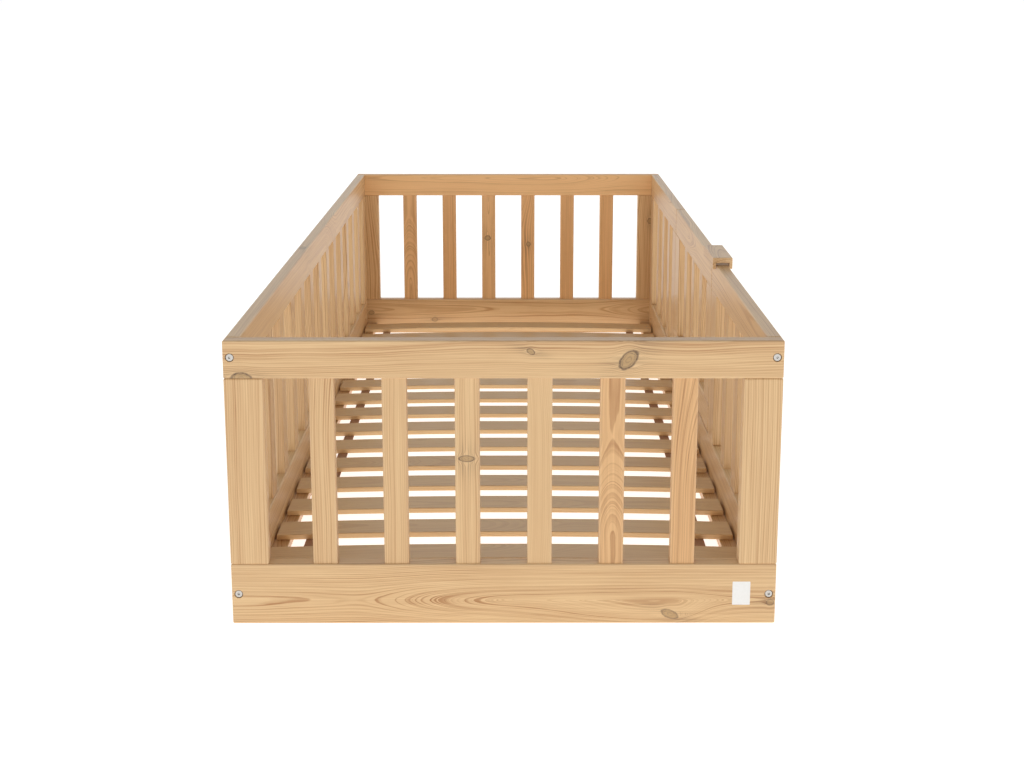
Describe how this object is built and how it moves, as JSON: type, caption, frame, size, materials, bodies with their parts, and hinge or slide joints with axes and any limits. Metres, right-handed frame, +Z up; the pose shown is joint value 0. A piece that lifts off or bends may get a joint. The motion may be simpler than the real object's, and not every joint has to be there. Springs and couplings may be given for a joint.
{
  "type": "toddler floor bed",
  "caption": "Low slatted wooden floor bed for a toddler, with a sprung lath base and a hinged side gate held shut by a sliding cap.",
  "frame": {"origin": "on the floor under the middle of the bed", "axes": "+Z up, +Y from the near end to the far end, +X towards the side with the gate"},
  "size_m": [0.865, 1.657, 0.4788],
  "materials": {
    "pine_board": "oiled pine, satin",
    "pine_slat": "oiled pine, satin",
    "pine_cleat": "planed pine, satin",
    "pine_lath": "planed pine, matt",
    "beech_dowel": "fluted beech, matt",
    "webbing": "woven brown tape",
    "zinc_steel": "zinc plated",
    "zinc_wire": "galvanised wire",
    "hinge_steel": "nickel plated",
    "felt": "wool felt"
  },
  "bodies": {
    "frame": {"near_top_rail": "pine_board", "near_bottom_rail": "pine_board", "near_left_post": "pine_board", "near_right_post": "pine_board", "near_slat_1": "pine_slat", "near_slat_2": "pine_slat", "near_slat_3": "pine_slat", "near_slat_4": "pine_slat", "near_slat_5": "pine_slat", "near_slat_6": "pine_slat", "far_top_rail": "pine_board", "far_bottom_rail": "pine_board", "far_left_post": "pine_board", "far_right_post": "pine_board", "far_slat_1": "pine_slat", "far_slat_2": "pine_slat", "far_slat_3": "pine_slat", "far_slat_4": "pine_slat", "far_slat_5": "pine_slat", "far_slat_6": "pine_slat", "left_top_rail": "pine_board", "left_bottom_rail": "pine_board", "left_near_stile": "pine_board", "left_far_stile": "pine_board", "right_bottom_rail": "pine_board", "right_near_top_rail": "pine_board", "right_near_outer_stile": "pine_board", "right_near_gate_stile": "pine_board", "right_far_top_rail": "pine_board", "right_far_gate_stile": "pine_board", "right_far_outer_stile": "pine_board", "left_slats": "pine_slat", "right_near_slats": "pine_slat", "right_far_slats": "pine_slat", "left_cleat": "pine_cleat", "right_cleat": "pine_cleat", "base_laths": "pine_lath", "left_strap": "webbing", "right_strap": "webbing", "strap_staples": "zinc_wire", "end_bolts": "zinc_steel", "barrel_nuts": "zinc_steel", "end_dowels": "beech_dowel", "side_dowels": "beech_dowel", "cleat_screws": "zinc_steel", "lath_screws": "zinc_steel", "frame_hinge_leaves": "hinge_steel", "hinge_pins": "hinge_steel", "frame_hinge_screws": "zinc_steel"},
    "gate": {"gate_top_rail": "pine_board", "gate_bottom_rail": "pine_board", "gate_latch_stile": "pine_board", "gate_hinge_stile": "pine_board", "gate_slats": "pine_slat", "gate_dowels": "beech_dowel", "gate_hinge_leaves": "hinge_steel", "gate_hinge_screws": "zinc_steel"},
    "latch": {"latch_cap": "pine_board", "latch_glide": "felt"}
  },
  "joints": [
    {"name": "gate_swing", "type": "hinge", "parent": "frame", "child": "gate", "pos_m": [0.4323, 0.26883, 0.25], "axis": [0, 0, 1], "range_deg": [0, 170]},
    {"name": "latch_slide", "type": "slide", "parent": "frame", "child": "latch", "axis": [0, -1, 0], "range_m": [0, 0.06]}
  ]
}
